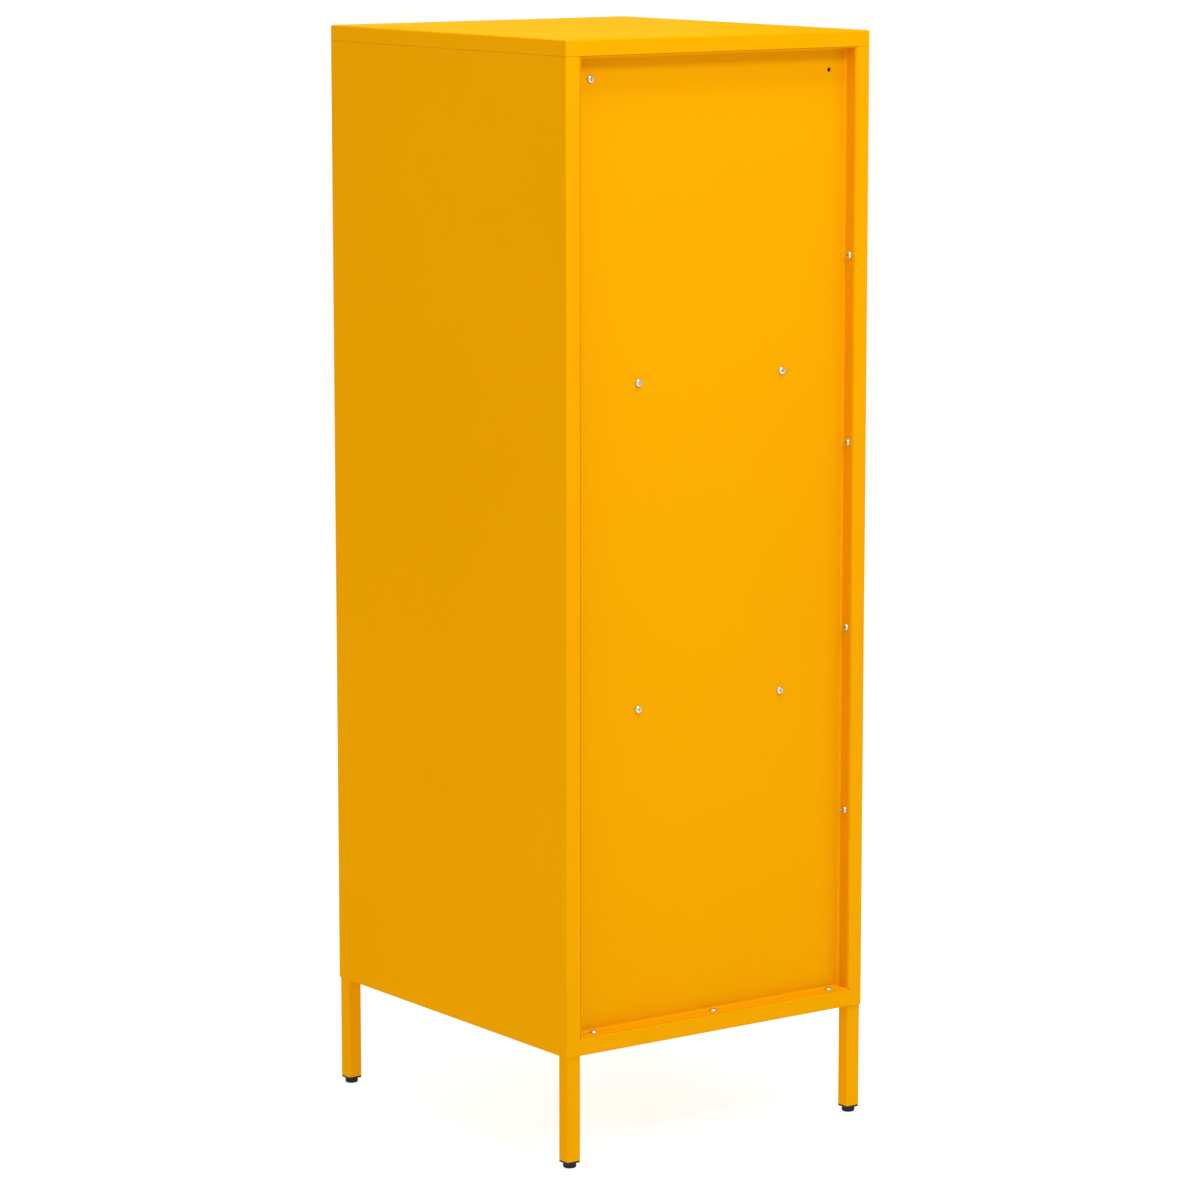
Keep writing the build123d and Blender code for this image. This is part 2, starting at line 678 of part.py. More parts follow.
def make_lock_body(lock_z):
    """Round head outside, flatted body through the door, bored for the turning plug."""
    body_back = door_back - cam_gap / 2
    with BuildPart() as body:
        with BuildSketch(xz_plane(door_face)):
            with Locations((lock_x, lock_z)):
                Circle(lock_head_radius)
        extrude(amount=lock_head_height)
        fillet(body.faces().sort_by(Axis.Y)[0].edges(), lock_head_edge)
        with BuildSketch(xz_plane(door_face)) as barrel:
            with Locations((lock_x, lock_z)):
                Circle(lock_body_radius)
                Rectangle(3 * lock_body_radius, lock_flat, mode=Mode.INTERSECT)
        extrude(barrel.sketch, amount=-(body_back - door_face))
        drill(xz_plane(door_face), [(lock_x, lock_z)], lock_plug_radius + lock_plug_fit, 2 * door_flange)
    return body.part


def make_lock_nut(lock_z):
    """Hexagon nut behind the door's face."""
    with BuildPart() as nut:
        with BuildSketch(xz_plane(door_face + sheet)):
            with Locations((lock_x, lock_z)):
                RegularPolygon(lock_nut_across / 2, 6, major_radius=False)
                Circle(lock_body_radius + lock_fit, mode=Mode.SUBTRACT)
        extrude(amount=-lock_nut_thick)
    return nut.part


def make_lock_plug(lock_z):
    """Turning plug with the key's slot in front and a riveted tail behind the cam."""
    face = door_face - lock_head_height - lock_plug_proud
    cam_front = door_back + cam_gap
    with BuildPart() as plug:
        with BuildSketch(xz_plane(face)):
            with Locations((lock_x, lock_z)):
                Circle(lock_plug_radius)
        extrude(amount=-(cam_front - face))
        fillet(plug.faces().sort_by(Axis.Y)[0].edges(), lock_plug_edge)
        with BuildSketch(xz_plane(cam_front)):
            with Locations((lock_x, lock_z)):
                Circle(tail_radius)
        extrude(amount=-cam_thick)
        with BuildSketch(xz_plane(cam_front + cam_thick)):
            with Locations((lock_x, lock_z)):
                Circle(tail_head_radius)
        extrude(amount=-tail_head_height)
        with BuildSketch(xz_plane(face)) as key_slot:
            with Locations((lock_x, lock_z)):
                Rectangle(key_slot_width, key_slot_length)
        extrude(key_slot.sketch, amount=-key_slot_depth, mode=Mode.SUBTRACT)
    return plug.part


def make_cam(lock_z):
    """Flat cam, hanging down when the lock is open."""
    cam_front = door_back + cam_gap
    with BuildPart() as cam:
        with BuildSketch(xz_plane(cam_front)):
            with Locations((lock_x, lock_z)):
                Circle(cam_width / 2)
            with Locations((lock_x, lock_z - cam_reach / 2)):
                Rectangle(cam_width, cam_reach)
            with Locations((lock_x, lock_z)):
                Circle(tail_radius + pin_fit, mode=Mode.SUBTRACT)
        extrude(amount=-cam_thick)
        fillet(cam.edges().filter_by(Axis.Y).sort_by(Axis.Z)[:2], cam_tip_radius)
    return cam.part


def make_card_holder(middle_z):
    """Pressed frame for a name card, with its own two rivets."""
    face = door_face - holder_thick
    inner_w = holder_width - 2 * holder_border
    inner_h = holder_height - 2 * holder_border
    with BuildPart() as holder:
        with BuildSketch(xz_plane(door_face)):
            with Locations((0, middle_z)):
                RectangleRounded(holder_width, holder_height, holder_corner)
        extrude(amount=holder_thick)
        fillet(holder.faces().sort_by(Axis.Y)[0].edges(), holder_edge)
        span_box((-inner_w / 2, face - cut_past, middle_z - inner_h / 2),
                 (inner_w / 2, door_face, middle_z + inner_h / 2), Mode.SUBTRACT)
        pocket_x = inner_w / 2 + card_margin_side
        pocket_low = middle_z - inner_h / 2 - card_margin_below
        span_box((-pocket_x, door_face - card_pocket, pocket_low),
                 (pocket_x, door_face, middle_z + holder_height), Mode.SUBTRACT)
        for side in (-1, 1):
            with BuildSketch(xz_plane(door_face + 2 * sheet)):
                with Locations((side * holder_rivet_x, middle_z)):
                    Circle(holder_rivet_radius)
            extrude(amount=2 * sheet + holder_thick + holder_rivet_bed)
            with BuildSketch(xz_plane(face)):
                with Locations((side * holder_rivet_x, middle_z)):
                    Circle(holder_rivet_head_radius)
            extrude(amount=holder_rivet_head, taper=holder_rivet_taper)
    return holder.part


for tier, bottom in zip(tier_names, door_bottoms):
    pivot_z = bottom + door_height - flap_drop
    lock_z = bottom + door_height / 2
    save(make_door(bottom), f"door_{tier}")
    save(make_bushes(bottom), f"door_bushes_{tier}")
    save(make_flap(pivot_z), f"flap_{tier}")
    save(make_flap_pin(pivot_z), f"flap_pin_{tier}")
    save(make_lock_body(lock_z), f"lock_body_{tier}")
    save(make_lock_nut(lock_z), f"lock_nut_{tier}")
    save(make_lock_plug(lock_z), f"lock_plug_{tier}")
    save(make_cam(lock_z), f"lock_cam_{tier}")
    save(make_card_holder(pivot_z - card_drop), f"card_holder_{tier}")
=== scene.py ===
# %% [markdown]
# # A folded-steel mail locker
# The cabinet stands on four slim square legs. Its body is folded from 0.8 mm sheet, powder coated in a
# warm yellow, and screwed together at the back with bright zinc screws. The doors, with their letter
# flaps and cam locks, are on the other side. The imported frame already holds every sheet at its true
# size, so this lesson spends its time on finishes, on the small hardware, and on the light.

# %% Load the frame
import json
import math
import bpy
from mathutils import Matrix, Vector


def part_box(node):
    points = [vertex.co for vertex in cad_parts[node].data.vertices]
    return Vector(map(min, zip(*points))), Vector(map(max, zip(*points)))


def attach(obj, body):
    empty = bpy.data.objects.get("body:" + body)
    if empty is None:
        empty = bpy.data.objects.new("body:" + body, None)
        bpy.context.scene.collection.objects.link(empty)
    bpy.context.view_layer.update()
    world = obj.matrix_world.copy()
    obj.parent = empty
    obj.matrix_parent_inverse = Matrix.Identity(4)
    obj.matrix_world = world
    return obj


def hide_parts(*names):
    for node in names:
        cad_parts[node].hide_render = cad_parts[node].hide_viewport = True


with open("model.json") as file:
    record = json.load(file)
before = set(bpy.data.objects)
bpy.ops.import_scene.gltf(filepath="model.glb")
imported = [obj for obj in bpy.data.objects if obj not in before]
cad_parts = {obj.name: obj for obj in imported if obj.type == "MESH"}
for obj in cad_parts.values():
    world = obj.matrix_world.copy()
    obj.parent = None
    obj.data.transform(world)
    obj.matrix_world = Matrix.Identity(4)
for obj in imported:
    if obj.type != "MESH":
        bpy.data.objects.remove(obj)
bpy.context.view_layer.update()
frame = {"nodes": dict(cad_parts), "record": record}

MM = 0.001
TIERS = ("lower", "middle", "upper")
CORNERS = ("front_left", "front_right", "rear_left", "rear_right")

# %% [markdown]
# ## Colour as a painter writes it
# Colours are easiest to compare as sRGB hex values, but the shader works in linear light. One function
# does the turning, so every finish below can be written the way it would be picked from a swatch card.

# %% Hex to linear


def linear(hex_code):
    """Linear RGBA of an sRGB hex colour."""
    channels = [int(hex_code[i:i + 2], 16) / 255 for i in (1, 3, 5)]
    turned = [c / 12.92 if c <= 0.04045 else ((c + 0.055) / 1.055) ** 2.4 for c in channels]
    return (*turned, 1.0)


print("linear yellow:", [round(c, 3) for c in linear("#E59C04")])

# %% [markdown]
# ## One helper for every shader node
# A material is a small graph. Instead of a helper for each kind of node, one helper adds any node, sets
# what it is told, and links what it is given. A name that is a socket is set on the socket, and any
# other name is a property of the node itself.

# %% Node and material helpers


def add_node(tree, kind, settings=None, links=None):
    """Add a shader node, set its sockets or properties, and link its inputs."""
    node = tree.nodes.new(kind)
    for name, value in (settings or {}).items():
        if name in node.inputs:
            node.inputs[name].default_value = value
        else:
            setattr(node, name, value)
    for name, source in (links or {}).items():
        tree.links.new(source, node.inputs[name])
    return node


def new_finish(name, shader_settings):
    """An empty material with one Principled shader; returns it, its tree, its shader and its coordinates."""
    material = bpy.data.materials.new(name)
    material.use_nodes = True
    tree = material.node_tree
    tree.nodes.clear()
    shader = add_node(tree, "ShaderNodeBsdfPrincipled", shader_settings)
    add_node(tree, "ShaderNodeOutputMaterial", {}, {"Surface": shader.outputs["BSDF"]})
    place = add_node(tree, "ShaderNodeTexCoord").outputs["Object"]
    return material, tree, shader, place


def per_metre(size_mm):
    """Pattern scale, in repeats a metre, for one feature of this size."""
    return 1 / (size_mm * MM)


# %% [markdown]
# ## Powder coat
# The steel is hung on a line, sprayed with charged polyester powder, and baked. The powder melts into a
# thick, even skin whose only texture is a faint orange peel, about two millimetres from crest to crest.
# A real coat's gloss is white. In a room as evenly white as this one it bleaches the deep yellow wherever it
# is seen at a low angle, so here the white specular is off, and about a sixth of metallic weight carries a
# satin gloss in the coat's own colour. That is a choice for the look and not how the paint works. A slow
# noise drifts the colour by a hair, and the peel is drawn coarser than life, so that it shows from here.

# %% Powder coat
PEEL_MM = 2.6
PEEL_HEIGHT_MM = 0.012
DRIFT_MM = 260.0
COAT_HEX = "#E8A103"
COAT_DEEP_HEX = "#E49C03"


def powder_coat():
    """Satin polyester powder coat, warm yellow, with orange peel."""
    material, tree, shader, place = new_finish("powder_coat_satin_yellow", {
        "Metallic": 0.16, "Specular IOR Level": 0.0, "Specular Tint": linear("#FFC400")})
    drift = add_node(tree, "ShaderNodeTexNoise", {"Scale": per_metre(DRIFT_MM), "Detail": 2.0},
                     {"Vector": place})
    colour = add_node(tree, "ShaderNodeMix", {"data_type": "RGBA"}, {"Factor": drift.outputs["Fac"]})
    colour.inputs[6].default_value = linear(COAT_HEX)
    colour.inputs[7].default_value = linear(COAT_DEEP_HEX)
    tree.links.new(colour.outputs[2], shader.inputs["Base Color"])
    peel = add_node(tree, "ShaderNodeTexNoise", {"Scale": per_metre(PEEL_MM), "Detail": 2.5,
                                                 "Roughness": 0.45}, {"Vector": place})
    gloss = add_node(tree, "ShaderNodeMapRange", {"To Min": 0.36, "To Max": 0.50},
                     {"Value": peel.outputs["Fac"]})
    tree.links.new(gloss.outputs["Result"], shader.inputs["Roughness"])
    bump = add_node(tree, "ShaderNodeBump", {"Strength": 0.35, "Distance": PEEL_HEIGHT_MM * MM},
                    {"Height": peel.outputs["Fac"]})
    tree.links.new(bump.outputs["Normal"], shader.inputs["Normal"])
    return material


COAT = powder_coat()
print("made", COAT.name)

# %% [markdown]
# ## Plated, polished and anodised metal
# Screws, nuts and pins are steel with a bright zinc plate: silvery, slightly blue, and a little cloudy
# because the plate is passivated in a bath. The lock is die-cast and nickel-chrome plated, which is much
# smoother. The card frames are extruded aluminium, brushed along their length and then anodised, so their
# grain is a noise stretched along X.

# %% Metals
CLOUD_MM = 3.0
BRUSH_MM = 0.35


def zinc_plate():
    """Bright passivated zinc on steel, cloudy at the scale of a screw head."""
    material, tree, shader, place = new_finish("zinc_plated_steel", {
        "Metallic": 1.0, "Base Color": linear("#D9DADC"), "Roughness": 0.3})
    cloud = add_node(tree, "ShaderNodeTexNoise", {"Scale": per_metre(CLOUD_MM), "Detail": 4.0},
                     {"Vector": place})
    gloss = add_node(tree, "ShaderNodeMapRange", {"To Min": 0.22, "To Max": 0.42},
                     {"Value": cloud.outputs["Fac"]})
    tree.links.new(gloss.outputs["Result"], shader.inputs["Roughness"])
    return material


def nickel_chrome():
    """Nickel-chrome plate on a die casting, with the faint waviness of the casting below."""
    material, tree, shader, place = new_finish("nickel_chrome_plate", {
        "Metallic": 1.0, "Base Color": linear("#DCDCDE"), "Roughness": 0.12})
    wave = add_node(tree, "ShaderNodeTexNoise", {"Scale": per_metre(CLOUD_MM), "Detail": 1.0},
                    {"Vector": place})
    bump = add_node(tree, "ShaderNodeBump", {"Strength": 0.15, "Distance": 0.02 * MM},
                    {"Height": wave.outputs["Fac"]})
    tree.links.new(bump.outputs["Normal"], shader.inputs["Normal"])
    return material


def anodised_aluminium():
    """Aluminium brushed along X, then clear anodised."""
    material, tree, shader, place = new_finish("brushed_anodised_aluminium", {
        "Metallic": 1.0, "Base Color": linear("#CFD1D3"), "Roughness": 0.34})
    stretch = add_node(tree, "ShaderNodeMapping", {"Scale": (0.03, 1.0, 1.0)}, {"Vector": place})
    brush = add_node(tree, "ShaderNodeTexNoise", {"Scale": per_metre(BRUSH_MM), "Detail": 2.0},
                     {"Vector": stretch.outputs["Vector"]})
    gloss = add_node(tree, "ShaderNodeMapRange", {"To Min": 0.28, "To Max": 0.44},
                     {"Value": brush.outputs["Fac"]})
    tree.links.new(gloss.outputs["Result"], shader.inputs["Roughness"])
    bump = add_node(tree, "ShaderNodeBump", {"Strength": 0.2, "Distance": 0.01 * MM},
                    {"Height": brush.outputs["Fac"]})
    tree.links.new(bump.outputs["Normal"], shader.inputs["Normal"])
    return material


ZINC, CHROME, ALUMINIUM = zinc_plate(), nickel_chrome(), anodised_aluminium()
print("made", ZINC.name, CHROME.name, ALUMINIUM.name)

# %% [markdown]
# ## Plastics, rubber and card
# The leg plugs and feet are moulded polyamide, black, with the fine spark-eroded grain of the mould. The
# hinge bushes are the same resin without pigment. The door buffers are soft black rubber, which is rougher
# and takes dust. The name cards are plain uncoated card, and its fibres give it a slight tooth.

# %% Plastics, rubber and card


def grained(name, hex_code, roughness, grain_mm, depth_mm, specular=0.5):
    """A matt material whose surface is a fine even grain; the roughness varies with the grain."""
    material, tree, shader, place = new_finish(name, {
        "Base Color": linear(hex_code), "Roughness": roughness, "Specular IOR Level": specular})
    grain = add_node(tree, "ShaderNodeTexNoise", {"Scale": per_metre(grain_mm), "Detail": 3.0},
                     {"Vector": place})
    gloss = add_node(tree, "ShaderNodeMapRange", {"To Min": roughness - 0.08, "To Max": roughness + 0.08},
                     {"Value": grain.outputs["Fac"]})
    tree.links.new(gloss.outputs["Result"], shader.inputs["Roughness"])
    bump = add_node(tree, "ShaderNodeBump", {"Strength": 0.4, "Distance": depth_mm * MM},
                    {"Height": grain.outputs["Fac"]})
    tree.links.new(bump.outputs["Normal"], shader.inputs["Normal"])
    return material


POLYAMIDE = grained("moulded_polyamide_black", "#0C0C0D", 0.48, 0.5, 0.02, 0.35)
NATURAL_NYLON = grained("moulded_nylon_natural", "#E4E1D6", 0.4, 0.6, 0.01)
RUBBER = grained("soft_rubber_black", "#151515", 0.78, 0.8, 0.03, 0.3)
CARD = grained("uncoated_card_white", "#F1EEE6", 0.85, 0.4, 0.02, 0.25)
print("made", POLYAMIDE.name, NATURAL_NYLON.name, RUBBER.name, CARD.name)

# %% [markdown]
# ## Giving the frame its finishes
# The record already says which slot each node belongs to, so one table from slot to finish dresses the
# whole cabinet, and no node can be forgotten.

# %% Dress the nodes
FINISH_OF_SLOT = {
    "powder_coat": COAT, "zinc_steel": ZINC, "chrome": CHROME, "card_frame": ALUMINIUM,
    "black_plastic": POLYAMIDE, "nylon": NATURAL_NYLON, "rubber": RUBBER,
}
slot_of_node = {part["node"]: part["material_slot"] for part in frame["record"]["subparts"]}
for node_name, node_object in frame["nodes"].items():
    node_object.data.materials.clear()
    node_object.data.materials.append(FINISH_OF_SLOT[slot_of_node[node_name]])
print("dressed", len(slot_of_node), "nodes")

# %% [markdown]
# ## Modelling helpers
# Operators act on whatever is selected, and loading the frame leaves it selected, so each piece starts
# from an empty selection. Faces and edges are chosen by where they are, which reads like pointing at them.

# %% Selection and finishing helpers
NEAR = 1e-5


def start_piece(name, add_primitive, **settings):
    """Add a primitive with nothing else selected, and name it."""
    bpy.ops.object.select_all(action="DESELECT")
    add_primitive(**settings)
    piece = bpy.context.active_object
    piece.name = piece.data.name = name
    return piece


def choose_faces(piece, test):
    """Go into edit mode with only the faces selected whose centre and normal pass the test."""
    bpy.ops.object.mode_set(mode="EDIT")
    bpy.ops.mesh.select_mode(type="FACE")
    bpy.ops.mesh.select_all(action="DESELECT")
    bpy.ops.object.mode_set(mode="OBJECT")
    for face in piece.data.polygons:
        face.select = test(face.center, face.normal)
    bpy.ops.object.mode_set(mode="EDIT")


def choose_edges(piece, test):
    """Go into edit mode with only the edges selected whose two ends pass the test."""
    bpy.ops.object.mode_set(mode="EDIT")
    bpy.ops.mesh.select_mode(type="EDGE")
    bpy.ops.mesh.select_all(action="DESELECT")
    bpy.ops.object.mode_set(mode="OBJECT")
    points = piece.data.vertices
    for edge in piece.data.edges:
        edge.select = test(points[edge.vertices[0]].co, points[edge.vertices[1]].co)
    bpy.ops.object.mode_set(mode="EDIT")


def settle(piece):
    """Leave edit mode, put the piece's place into its mesh, and shade it by angle."""
    if bpy.context.mode == "EDIT_MESH":
        bpy.ops.object.mode_set(mode="OBJECT")
    bpy.ops.object.select_all(action="DESELECT")
    piece.select_set(True)
    bpy.context.view_layer.objects.active = piece
    bpy.ops.object.transform_apply(location=True, rotation=True, scale=True)
    bpy.ops.object.shade_smooth_by_angle(angle=math.radians(35))


def cut_with(piece, cutter):
    """Cut the cutter's shape out of the piece, then throw the cutter away."""
    bpy.ops.object.select_all(action="DESELECT")
    piece.select_set(True)
    bpy.context.view_layer.objects.active = piece
    boolean = piece.modifiers.new("recess", "BOOLEAN")
    boolean.operation = "DIFFERENCE"
    boolean.object = cutter
    bpy.ops.object.modifier_apply(modifier=boolean.name)
    bpy.data.objects.remove(cutter, do_unlink=True)


def fit_out(piece, finish, body, stands_for=()):
    """Give a finished piece its material and its body, and hide the nodes it stands for."""
    piece.data.materials.clear()
    piece.data.materials.append(finish)
    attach(piece, body)
    if stands_for:
        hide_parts(*stands_for)


# %% [markdown]
# ## The back panel's screws
# These are M4 pan-head screws: a low round head with a soft shoulder and a cross recess. The head could be
# a squashed sphere, but a real pan head is flat in the middle, so a cylinder with a deeply bevelled rim is
# closer. Its underside is inset and pulled down into the shank. The recess is cut by a tapered cross.

# %% One screw, modelled once


def model_screw(name, head_radius, head_height, shank_radius, shank_length):
    """Pan-head screw standing on the origin, head up, shank down."""
    screw = start_piece(name, bpy.ops.mesh.primitive_cylinder_add, vertices=48, radius=head_radius,
                        depth=head_height, location=(0, 0, head_height / 2))
    settle(screw)
    choose_edges(screw, lambda a, b: min(a.z, b.z) > head_height - NEAR)
    bpy.ops.mesh.bevel(offset=head_height * 0.72, segments=7, profile=0.5, affect="EDGES")
    choose_faces(screw, lambda centre, normal: normal.z < -0.9 and abs(centre.z) < NEAR)
    bpy.ops.mesh.inset(thickness=head_radius - shank_radius)
    bpy.ops.mesh.extrude_region_move(TRANSFORM_OT_translate={"value": (0, 0, -shank_length)})
    bpy.ops.mesh.bevel(offset=shank_radius * 0.4, segments=2, affect="EDGES")
    settle(screw)
    for turn in (0, math.pi / 2):
        blade = start_piece("recess_blade", bpy.ops.mesh.primitive_cube_add, size=1,
                            location=(0, 0, head_height))
        blade.scale = (head_radius * 1.2, head_radius * 0.3, head_height * 1.1)
        blade.rotation_euler.z = turn
        settle(blade)
        choose_faces(blade, lambda centre, normal: normal.z < -0.9)
        bpy.ops.transform.resize(value=(0.45, 0.7, 1.0))
        settle(blade)
        cut_with(screw, blade)
    settle(screw)
    return screw


SCREW_HEAD, SCREW_RISE, SCREW_SHANK, SCREW_LENGTH = 3.6 * MM, 2.3 * MM, 2.0 * MM, 8.0 * MM
master_screw = model_screw("master_screw", SCREW_HEAD, SCREW_RISE, SCREW_SHANK, SCREW_LENGTH)
print("one screw has", len(master_screw.data.polygons), "faces")

# %% [markdown]
# ## Where the screws go
# The frame's own screw groups say where each one sits. Every group is a regular row or grid, so its box,
# taken in by a head's radius, gives the first and last screw, and the rest are spaced evenly between. Each
# screw was driven by hand, so each recess is left at its own angle.

# %% Copy the screws into place
GOLDEN_TURN = math.radians(137.5)


def spaced(low, high, count):
    """Count evenly spaced values from low to high."""
    if count == 1:
        return [(low + high) / 2]
    return [low + (high - low) * i / (count - 1) for i in range(count)]


def facing(place, direction, turn):
    """Matrix that stands a screw at a place, its head towards a direction, its recess turned."""
    aim = Vector(direction).to_track_quat("Z", "Y").to_matrix().to_4x4()
    return Matrix.Translation(place) @ aim @ Matrix.Rotation(turn, 4, "Z")


def drive_screws(node, master, places, direction, body="cabinet"):
    """Copy a master screw to each place, as pieces that stand for one node."""
    for i, (place, aim) in enumerate(zip(places, direction)):
        copy = master.copy()
        copy.data = master.data.copy()
        copy.name = copy.data.name = f"{node}_{i + 1}"
        bpy.context.scene.collection.objects.link(copy)
        copy.data.transform(facing(place, aim, i * GOLDEN_TURN))
        fit_out(copy, ZINC, body, (node,))


def grid(node, counts, inset):
    """Even X, Y and Z places of a screw group, from its box taken in by an inset."""
    low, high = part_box(node)
    axes = [spaced(low[i] + inset[i], high[i] - inset[i], counts[i]) for i in range(3)]
    return [Vector((x, y, z)) for x in axes[0] for y in axes[1] for z in axes[2]]


BACK_INSET = (SCREW_HEAD, 0, SCREW_HEAD)
WALL_INSET = (SCREW_LENGTH, SCREW_HEAD, SCREW_HEAD)
FLAT_INSET = (SCREW_HEAD, SCREW_HEAD, 0)
screw_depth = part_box("shelf_screws")[0].y + SCREW_LENGTH
shelf_places = [Vector((p.x, screw_depth, p.z)) for p in grid("shelf_screws", (2, 1, 2), BACK_INSET)]
drive_screws("shelf_screws", master_screw, shelf_places, [(0, 1, 0)] * 4)
corner_places = [Vector((p.x, screw_depth, p.z)) for p in grid("header_screw", (1, 1, 1), BACK_INSET)]
drive_screws("header_screw", master_screw, corner_places, [(0, 1, 0)])
wall_places = grid("wall_screws", (2, 1, 4), WALL_INSET)
drive_screws("wall_screws", master_screw, wall_places, [(-math.copysign(1, p.x), 0, 0) for p in wall_places])
ledge_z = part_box("ledge_screws")[0].z + SCREW_LENGTH
ledge_places = [Vector((p.x, p.y, ledge_z)) for p in grid("ledge_screws", (3, 1, 1), FLAT_INSET)]
drive_screws("ledge_screws", master_screw, ledge_places, [(0, 0, 1)] * 3)
cap_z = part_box("cap_screws")[1].z - SCREW_LENGTH
cap_places = [Vector((p.x, p.y, cap_z)) for p in grid("cap_screws", (2, 2, 1), FLAT_INSET)]
drive_screws("cap_screws", master_screw, cap_places, [(0, 0, -1)] * 4)
bpy.data.objects.remove(master_screw, do_unlink=True)
print("screws at the back:", len(shelf_places) + len(corner_places) + len(wall_places) + len(ledge_places))

# %% [markdown]
# ## Levelling feet
# Each foot is a small moulded pad on a threaded stem, turned by hand to level the cabinet, so its rim has
# grip ribs. The ribs could be a texture, but they catch the light at the pad's edge, so they are pressed in:
# every second side face is inset and pushed inwards. The lower edge is rounded, because a sharp one marks a floor.

# %% Model one foot and copy it
RIB_COUNT = 16
RIB_DEPTH = 0.35 * MM
RIB_INSET = 0.15 * MM
PAD_LOW_ROUND, PAD_TOP_ROUND = 1.5 * MM, 0.5 * MM


def model_foot(name, low, high, stem_radius, stem_low):
    """Ribbed pad with a rounded lower edge and its stem, at its place."""
    radius = (high.x - low.x) / 2
    middle = (low + high) / 2
    foot = start_piece(name, bpy.ops.mesh.primitive_cylinder_add, vertices=2 * RIB_COUNT, radius=radius,
                       depth=stem_low - low.z, location=(middle.x, middle.y, (low.z + stem_low) / 2))
    settle(foot)
    choose_edges(foot, lambda a, b: max(a.z, b.z) < low.z + NEAR)
    bpy.ops.mesh.bevel(offset=PAD_LOW_ROUND, segments=4, affect="EDGES")
    choose_edges(foot, lambda a, b: min(a.z, b.z) > stem_low - NEAR)
    bpy.ops.mesh.bevel(offset=PAD_TOP_ROUND, segments=2, affect="EDGES")

    def is_rib_gap(centre, normal):
        turn = math.atan2(centre.y - middle.y, centre.x - middle.x) / (2 * math.pi)
        return abs(normal.z) < 0.05 and round(turn * 2 * RIB_COUNT - 0.5) % 2 == 0

    choose_faces(foot, is_rib_gap)
    bpy.ops.mesh.inset(thickness=RIB_INSET, use_individual=True)
    bpy.ops.transform.resize(value=(1 - RIB_DEPTH / radius,) * 2 + (1,),
                             center_override=(middle.x, middle.y, middle.z))
    choose_faces(foot, lambda centre, normal: normal.z > 0.9 and centre.z > stem_low - NEAR)
    bpy.ops.mesh.inset(thickness=radius - PAD_TOP_ROUND - stem_radius)
    bpy.ops.mesh.extrude_region_move(TRANSFORM_OT_translate={"value": (0, 0, high.z - stem_low)})
    settle(foot)
    return foot


STEM_RADIUS = 3.0 * MM
PAD_BELOW_PLUG = 0.3 * MM
for corner in CORNERS:
    low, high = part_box(f"foot_{corner}")
    pad_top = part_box(f"leg_plug_{corner}")[0].z - PAD_BELOW_PLUG
    foot = model_foot(f"levelling_foot_{corner}", low, high, STEM_RADIUS, pad_top)
    fit_out(foot, POLYAMIDE, f"foot_{corner}", (f"foot_{corner}",))
print("feet:", len(CORNERS))

# %% [markdown]
# ## Name cards
# Each door carries a blank card, slipped down into its frame. Real card never lies quite flat, so a fine
# grid is bowed by a fraction of a millimetre before it is given its thickness.

# %% Cards in their frames
CARD_THICK = 0.15 * MM
CARD_BOW = 0.125 * MM
CARD_OFF_DOOR = 0.5 * MM
CARD_SIDE, CARD_END = 4.4 * MM, 3.2 * MM
JOINTS = {joint["name"]: joint for joint in frame["record"]["behaviour"]["joints"]}

for tier in TIERS:
    low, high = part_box(f"card_holder_{tier}")
    door_face = JOINTS[f"lock_{tier}_turn"]["pos_m"][1]
    middle = (low + high) / 2
    width = high.x - low.x - 2 * CARD_SIDE
    tall = high.z - low.z - 2 * CARD_END
    card = start_piece(f"name_card_{tier}", bpy.ops.mesh.primitive_grid_add, x_subdivisions=12,
                       y_subdivisions=4, size=1)
    card.scale = (width, tall, 1)
    card.rotation_euler.x = math.pi / 2
    settle(card)
    print(f"card {tier}: {width / MM:.1f} x {tall / MM:.1f} mm")
    for point in card.data.vertices:
        bow = 1 - (2 * point.co.x / width) ** 2
        point.co += Vector((middle.x, door_face - CARD_OFF_DOOR - CARD_BOW * bow, middle.z))
    thickness = card.modifiers.new("thickness", "SOLIDIFY")
    thickness.thickness = CARD_THICK
    bpy.ops.object.modifier_apply(modifier=thickness.name)
    settle(card)
    fit_out(card, CARD, f"door_{tier}")

# %% [markdown]
# ## The studio
# The cabinet stands on a seamless white sweep. A wide plain floor, lit brighter than the coat, does the
# same job without a fold. It glows evenly, so that it stays white while the lights are set for the coat,
# and the glow lifts the undersides as a lit table would. The floor isn't part of the object.

# %% Floor
FLOOR_SIZE = 120.0
FLOOR_GLOW = 0.84


def studio_board():
    """Matt pale board with a faint mottle, evenly lit from behind as a light table is."""
    material, tree, shader, place = new_finish("matt_pale_board", {
        "Roughness": 0.9, "Specular IOR Level": 0.1, "Emission Color": linear("#FFFFFF"),
        "Emission Strength": FLOOR_GLOW})
    mottle = add_node(tree, "ShaderNodeTexNoise", {"Scale": per_metre(400.0), "Detail": 2.0},
                      {"Vector": place})
    colour = add_node(tree, "ShaderNodeMix", {"data_type": "RGBA"}, {"Factor": mottle.outputs["Fac"]})
    colour.inputs[6].default_value = linear("#949494")
    colour.inputs[7].default_value = linear("#929291")
    tree.links.new(colour.outputs[2], shader.inputs["Base Color"])
    return material


floor = start_piece("studio_floor", bpy.ops.mesh.primitive_plane_add, size=FLOOR_SIZE)
floor.data.materials.append(studio_board())
print("floor", FLOOR_SIZE, "m across")

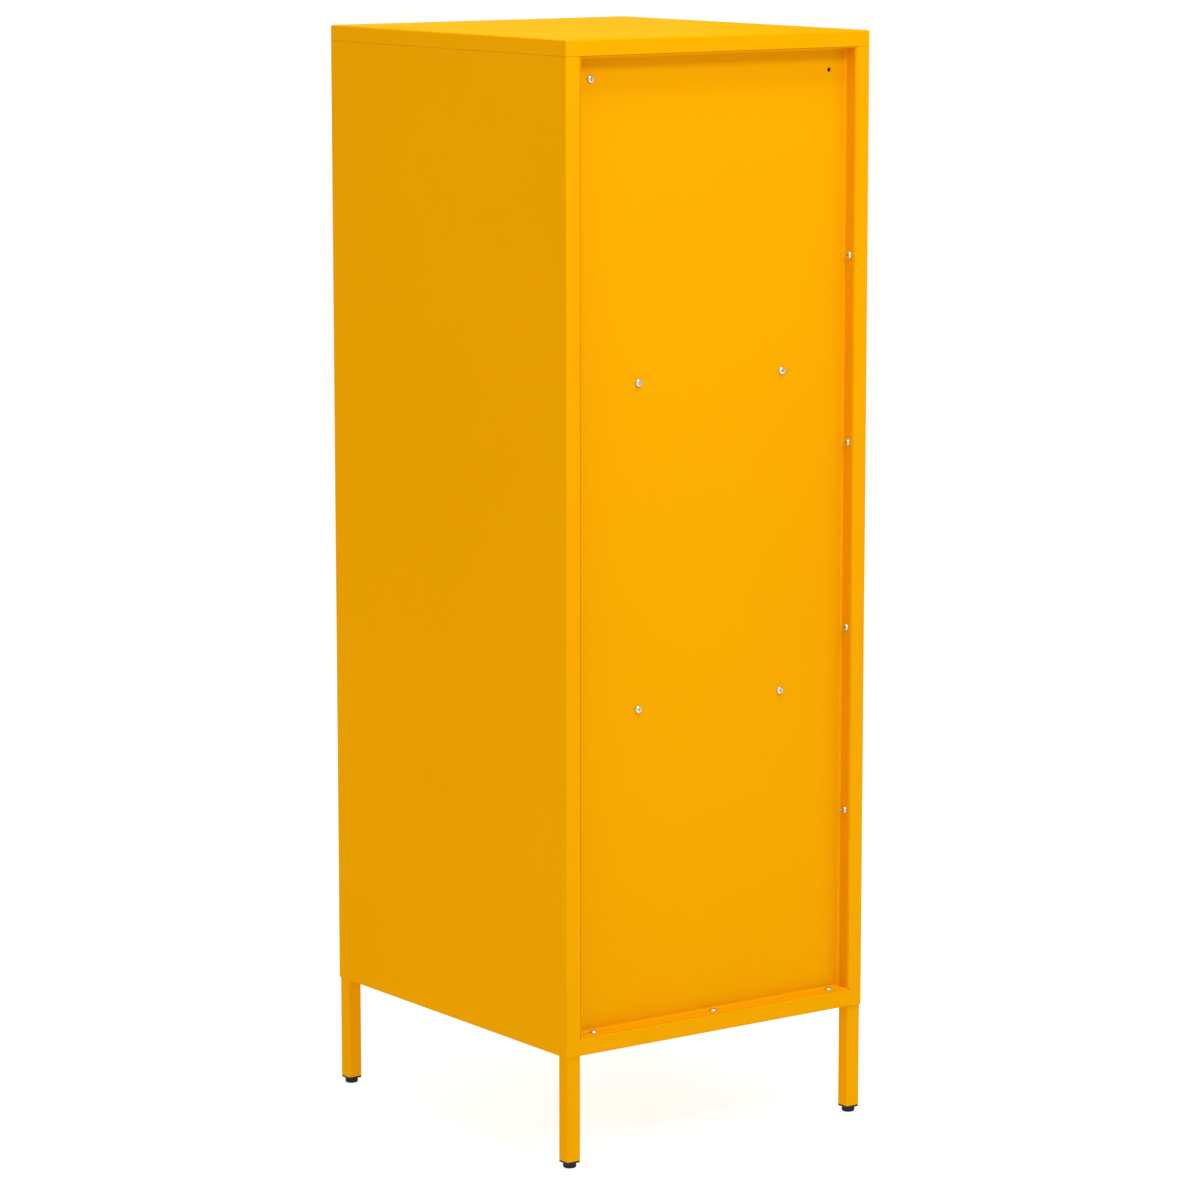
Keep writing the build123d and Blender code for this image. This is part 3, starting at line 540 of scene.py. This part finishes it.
# %% [markdown]
# ## Light
# The coat is brightest on top, then on the back, then on the sides, and the cap throws a soft-edged shadow
# few centimetres down the back panel. So one small softbox hangs behind the cabinet, about forty degrees up
# and close enough that the back is brighter near its top, and a second one, steeper, lights the top and the
# ledge. Two larger boxes light the side and the doors, and a plain white room fills the rest.

# %% Softboxes and room
TARGET = Vector((0, 0, 0.62))


def softbox(name, place, size, watts, aim=TARGET):
    """Square area light at a place, pointing at a target."""
    bpy.ops.object.select_all(action="DESELECT")
    bpy.ops.object.light_add(type="AREA", location=place)
    light = bpy.context.active_object
    light.name = light.data.name = name
    light.data.shape = "SQUARE"
    light.data.size = size
    light.data.energy = watts
    light.rotation_euler = (aim - Vector(place)).to_track_quat("-Z", "Y").to_euler()
    return light


WATTS_BEHIND, WATTS_HIGH, WATTS_SIDE, WATTS_DOOR = 21.0, 43.0, 13.0, 30.0
ROOM_LEVEL = 0.55
softbox("softbox_behind_above", (0.1, 1.75, 2.35), 0.55, WATTS_BEHIND)
softbox("softbox_steep_behind", (0.0, 1.0, 3.4), 0.7, WATTS_HIGH, Vector((0, 0.19, 0.5)))
softbox("softbox_side", (2.6, 0.6, 1.6), 1.6, WATTS_SIDE)
softbox("softbox_door_side", (-1.2, -2.6, 1.9), 1.6, WATTS_DOOR)

room = bpy.data.worlds.new("white_room")
bpy.context.scene.world = room
room.use_nodes = True
room.node_tree.nodes["Background"].inputs["Color"].default_value = linear("#FFFFFF")
room.node_tree.nodes["Background"].inputs["Strength"].default_value = ROOM_LEVEL
bpy.context.scene.view_settings.view_transform = "Standard"

# %% [markdown]
# ## Camera
# The view is from the back corner and a little above, through a long lens, so that the cabinet's upright
# edges stay almost parallel.

# %% Camera
CAMERA_AT = Vector((2.639, 3.646, 1.239))
CAMERA_AIM = Vector((0.0165, 0.0277, 0.5000))
LENS_MM = 141.5

bpy.ops.object.camera_add(location=CAMERA_AT)
camera = bpy.context.active_object
camera.name = "studio_camera"
camera.rotation_euler = (CAMERA_AIM - CAMERA_AT).to_track_quat("-Z", "Y").to_euler()
camera.data.lens = LENS_MM
camera.data.sensor_width = 36.0
camera.data.clip_end = 200.0
bpy.context.scene.camera = camera
print("camera", [round(v, 3) for v in camera.location], "lens", LENS_MM)
